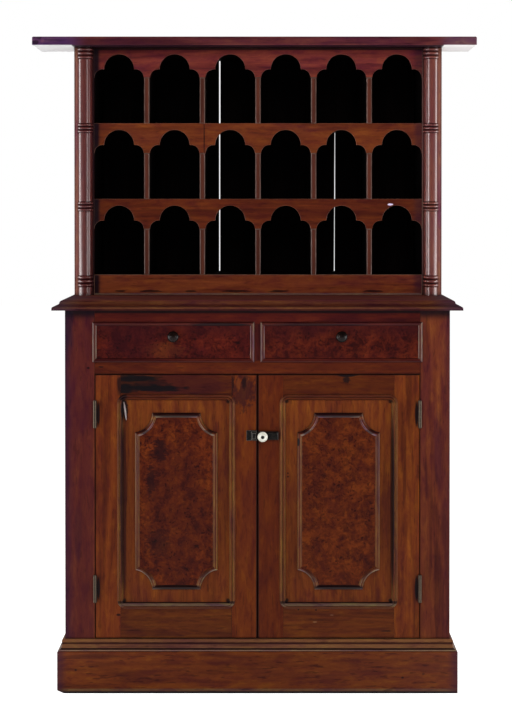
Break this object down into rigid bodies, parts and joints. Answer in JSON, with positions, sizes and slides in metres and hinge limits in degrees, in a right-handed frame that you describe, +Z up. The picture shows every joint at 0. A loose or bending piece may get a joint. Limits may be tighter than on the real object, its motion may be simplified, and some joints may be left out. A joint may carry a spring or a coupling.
{
  "type": "stationery cabinet",
  "caption": "Cedar stationery cabinet: cupboard with sunk cartouche doors and lipped drawers under an open rack of pigeonholes with trefoil valances, turned half columns and a board cornice.",
  "frame": {"origin": "on the floor, under the middle of the case", "axes": "+X to the viewer's right, -Y towards the front with the doors, +Z up"},
  "size_m": [1.231, 0.4723, 1.761],
  "materials": {
    "cedar": "satin polish, worn",
    "burl": "satin polish",
    "carcass_wood": "dark stained, dull",
    "dark_knob": "gloss",
    "iron": "dull",
    "porcelain": "gloss glaze"
  },
  "bodies": {
    "case": {"plinth_boards": "cedar", "plinth_moulding": "cedar", "case_sides": "cedar", "front_stiles": "cedar", "top_rail": "cedar", "drawer_rail": "cedar", "drawer_divider": "cedar", "drawer_runners": "carcass_wood", "cupboard_floor": "carcass_wood", "cupboard_shelf": "carcass_wood", "shelf_cleats": "carcass_wood", "case_back_boards": "carcass_wood", "door_stops": "carcass_wood", "counter_top": "cedar", "hutch_sides": "cedar", "hutch_posts": "cedar", "turned_columns": "cedar", "hutch_base_rail": "cedar", "pigeonhole_shelves": "carcass_wood", "upper_valance": "cedar", "middle_valance": "cedar", "lower_valance": "cedar", "pigeonhole_dividers": "cedar", "pigeonhole_linings": "carcass_wood", "hutch_back_boards": "carcass_wood", "cornice_board": "cedar", "hinge_case_leaves": "iron", "hinge_pins": "iron"},
    "left_door": {"left_door_stiles": "cedar", "left_door_rails": "cedar", "left_door_panel": "cedar", "left_door_panel_moulding": "cedar", "left_door_cartouche": "cedar", "left_door_burl_panel": "burl", "left_door_hinge_leaves": "iron", "latch_keeper": "iron", "inner_bolt_plate": "iron"},
    "right_door": {"right_door_stiles": "cedar", "right_door_rails": "cedar", "right_door_panel": "cedar", "right_door_panel_moulding": "cedar", "right_door_cartouche": "cedar", "right_door_burl_panel": "burl", "right_door_hinge_leaves": "iron", "latch_case": "iron"},
    "latch_knob": {"latch_knob": "porcelain", "latch_spindle": "iron"},
    "latch_bolt": {"latch_bolt": "iron"},
    "inner_bolt": {"inner_bolt": "iron"},
    "left_drawer": {"left_drawer_front": "burl", "left_drawer_lip": "cedar", "left_drawer_box": "carcass_wood", "left_drawer_bottom": "carcass_wood", "left_drawer_knob": "dark_knob"},
    "right_drawer": {"right_drawer_front": "burl", "right_drawer_lip": "cedar", "right_drawer_box": "carcass_wood", "right_drawer_bottom": "carcass_wood", "right_drawer_knob": "dark_knob"}
  },
  "joints": [
    {"name": "left_door_hinge", "type": "hinge", "parent": "case", "child": "left_door", "pos_m": [-0.432, -0.207, 0.493], "axis": [0, 0, -1], "range_deg": [0, 160]},
    {"name": "right_door_hinge", "type": "hinge", "parent": "case", "child": "right_door", "pos_m": [0.432, -0.207, 0.493], "axis": [0, 0, 1], "range_deg": [0, 160]},
    {"name": "latch_knob_turn", "type": "hinge", "parent": "right_door", "child": "latch_knob", "pos_m": [0.014, -0.2143, 0.682], "axis": [0, -1, 0], "range_deg": [0, 60]},
    {"name": "latch_bolt_slide", "type": "slide", "parent": "right_door", "child": "latch_bolt", "axis": [-1, 0, 0], "range_m": [0, 0.009]},
    {"name": "inner_bolt_slide", "type": "slide", "parent": "left_door", "child": "inner_bolt", "axis": [0, 0, 1], "range_m": [0, 0.012]},
    {"name": "left_drawer_slide", "type": "slide", "parent": "case", "child": "left_drawer", "axis": [0, -1, 0], "range_m": [0, 0.3]},
    {"name": "right_drawer_slide", "type": "slide", "parent": "case", "child": "right_drawer", "axis": [0, -1, 0], "range_m": [0, 0.3]}
  ],
  "couplings": [
    {"joint": "latch_bolt_slide", "follows": "latch_knob_turn", "m_per_rad": 0.00859}
  ]
}
